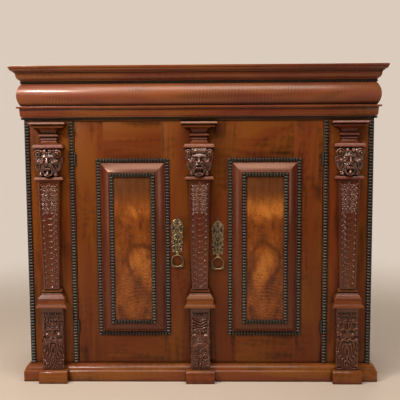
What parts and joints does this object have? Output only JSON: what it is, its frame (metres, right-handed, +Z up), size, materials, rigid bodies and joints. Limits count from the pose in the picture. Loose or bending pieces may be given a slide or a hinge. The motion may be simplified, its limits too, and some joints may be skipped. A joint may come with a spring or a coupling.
{
  "type": "kas cupboard",
  "caption": "Low walnut kas cupboard with a cushion cornice, carved pilasters, raised door panels, ripple mouldings and hinged doors.",
  "frame": {"origin": "bottom centre of the bounding box, on the floor", "axes": "+Z up, +X to the right of somebody who faces the doors, the doors face -Y"},
  "size_m": [1.644, 0.655, 1.417],
  "materials": {
    "case_walnut": "polished",
    "stile_walnut": "polished",
    "door_walnut": "polished",
    "carved_walnut": "polished",
    "curly_walnut": "polished",
    "figured_walnut": "polished",
    "ebonised_wood": "polished",
    "inside_oak": "plain",
    "antique_brass": "aged",
    "hinge_iron": "blackened",
    "lock_iron": "aged"
  },
  "bodies": {
    "carcass": {"architrave_moulding": "case_walnut", "back_boards": "inside_oak", "base_back_rail": "inside_oak", "base_blocks": "carved_walnut", "base_mouldings": "case_walnut", "bottom_board": "inside_oak", "ceiling_board": "inside_oak", "cornice_frame": "inside_oak", "cornice_ripple_mouldings": "ebonised_wood", "cornice_top_moulding": "case_walnut", "crown_moulding": "case_walnut", "cushion_frieze": "curly_walnut", "front_top_rail": "case_walnut", "hinge_frame_leaves": "hinge_iron", "hinge_pins": "hinge_iron", "left_capital": "carved_walnut", "left_front_stile": "stile_walnut", "left_mask": "carved_walnut", "left_pedestal": "carved_walnut", "left_pedestal_cap": "carved_walnut", "left_shaft": "carved_walnut", "left_side_frame": "case_walnut", "right_capital": "carved_walnut", "right_front_stile": "stile_walnut", "right_mask": "carved_walnut", "right_pedestal": "carved_walnut", "right_pedestal_cap": "carved_walnut", "right_shaft": "carved_walnut", "right_side_frame": "case_walnut", "shelf_bearers": "inside_oak", "shelves": "inside_oak", "side_panels": "case_walnut", "stile_ripple_strips": "ebonised_wood", "top_board": "case_walnut"},
    "right_door": {"centre_capital": "carved_walnut", "centre_mask": "carved_walnut", "centre_pedestal": "carved_walnut", "centre_pedestal_cap": "carved_walnut", "centre_shaft": "carved_walnut", "lock_case": "lock_iron", "right_door_back_panel": "door_walnut", "right_door_frame": "door_walnut", "right_door_hinge_leaves": "hinge_iron", "right_escutcheon": "antique_brass", "right_figured_panel": "figured_walnut", "right_panel_moulding": "case_walnut", "right_panel_ripple_strips": "ebonised_wood"},
    "left_door": {"bolt_keepers": "lock_iron", "left_door_back_panel": "door_walnut", "left_door_frame": "door_walnut", "left_door_hinge_leaves": "hinge_iron", "left_escutcheon": "antique_brass", "left_figured_panel": "figured_walnut", "left_panel_moulding": "case_walnut", "left_panel_ripple_strips": "ebonised_wood"},
    "left_ring_pull": {"left_ring_pull": "antique_brass"},
    "right_ring_pull": {"right_ring_pull": "antique_brass"},
    "lock_bolt": {"lock_bolt": "lock_iron"},
    "upper_bolt": {"upper_bolt": "lock_iron"},
    "lower_bolt": {"lower_bolt": "lock_iron"}
  },
  "joints": [
    {"name": "right_door_hinge", "type": "hinge", "parent": "carcass", "child": "right_door", "pos_m": [0.549, -0.2577, 0.628], "axis": [0, 0, 1], "range_deg": [0, 105]},
    {"name": "left_door_hinge", "type": "hinge", "parent": "carcass", "child": "left_door", "pos_m": [-0.549, -0.2577, 0.628], "axis": [0, 0, -1], "range_deg": [0, 105]},
    {"name": "right_ring_swing", "type": "hinge", "parent": "right_door", "child": "right_ring_pull", "pos_m": [0.084, -0.2605, 0.577], "axis": [-1, 0, 0], "range_deg": [0, 80]},
    {"name": "left_ring_swing", "type": "hinge", "parent": "left_door", "child": "left_ring_pull", "pos_m": [-0.097, -0.2605, 0.588], "axis": [-1, 0, 0], "range_deg": [0, 80]},
    {"name": "lock_bolt_slide", "type": "slide", "parent": "right_door", "child": "lock_bolt", "axis": [-1, 0, 0], "range_m": [0, 0.018]},
    {"name": "upper_bolt_slide", "type": "slide", "parent": "left_door", "child": "upper_bolt", "axis": [0, 0, 1], "range_m": [0, 0.018]},
    {"name": "lower_bolt_slide", "type": "slide", "parent": "left_door", "child": "lower_bolt", "axis": [0, 0, -1], "range_m": [0, 0.018]}
  ],
  "couplings": [
    {"joint": "left_door_hinge", "follows": "right_door_hinge", "ratio": 1}
  ]
}
